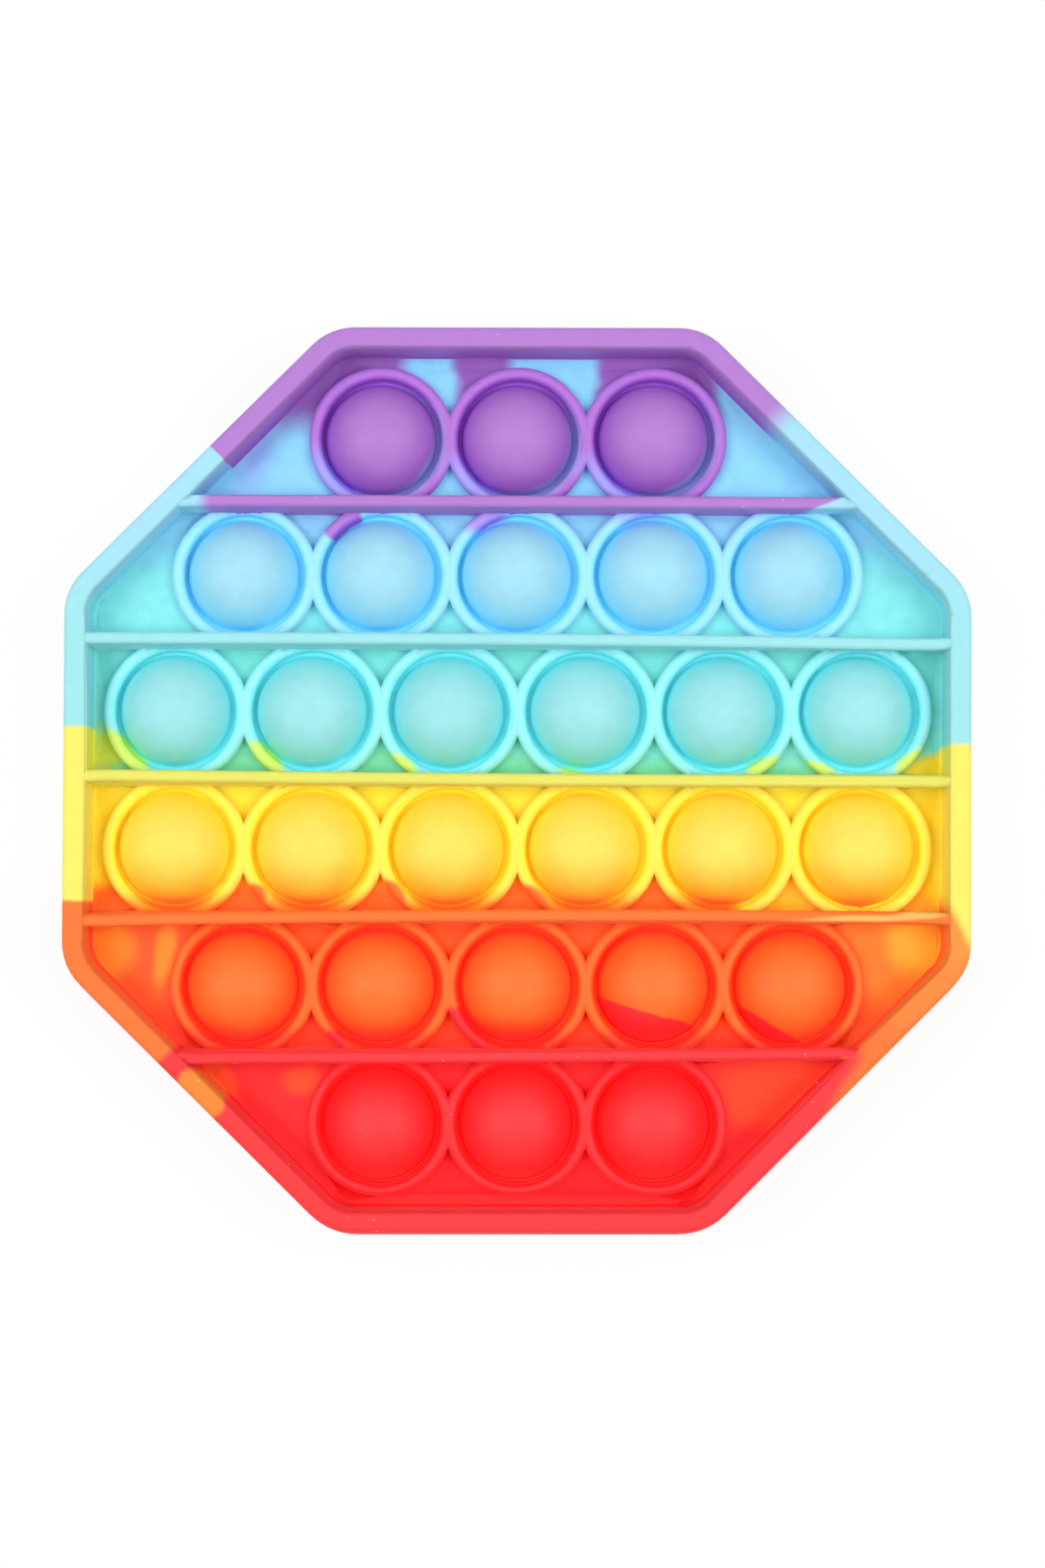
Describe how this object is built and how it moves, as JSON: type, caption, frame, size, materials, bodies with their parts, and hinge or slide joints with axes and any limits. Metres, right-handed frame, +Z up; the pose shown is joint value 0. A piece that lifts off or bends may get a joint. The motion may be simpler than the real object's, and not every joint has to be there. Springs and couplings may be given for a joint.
{
  "type": "bubble pop fidget toy",
  "caption": "Flat octagonal silicone board with a raised rim, straight ribs and rows of hollow domes that pop through under a fingertip.",
  "frame": {"origin": "centre of the octagon, in the plane of the rim's lower land", "axes": "+Z up out of the face the domes stand on, +Y towards the purple row, +X along the rows and ribs to the right as seen from above"},
  "size_m": [0.125, 0.125, 0.015],
  "materials": {
    "silicone": "matte moulded silicone, dyed in bands from purple over blue, teal, yellow and orange to red"
  },
  "bodies": {
    "root": {"bubble_board": "silicone"}
  },
  "joints": []
}
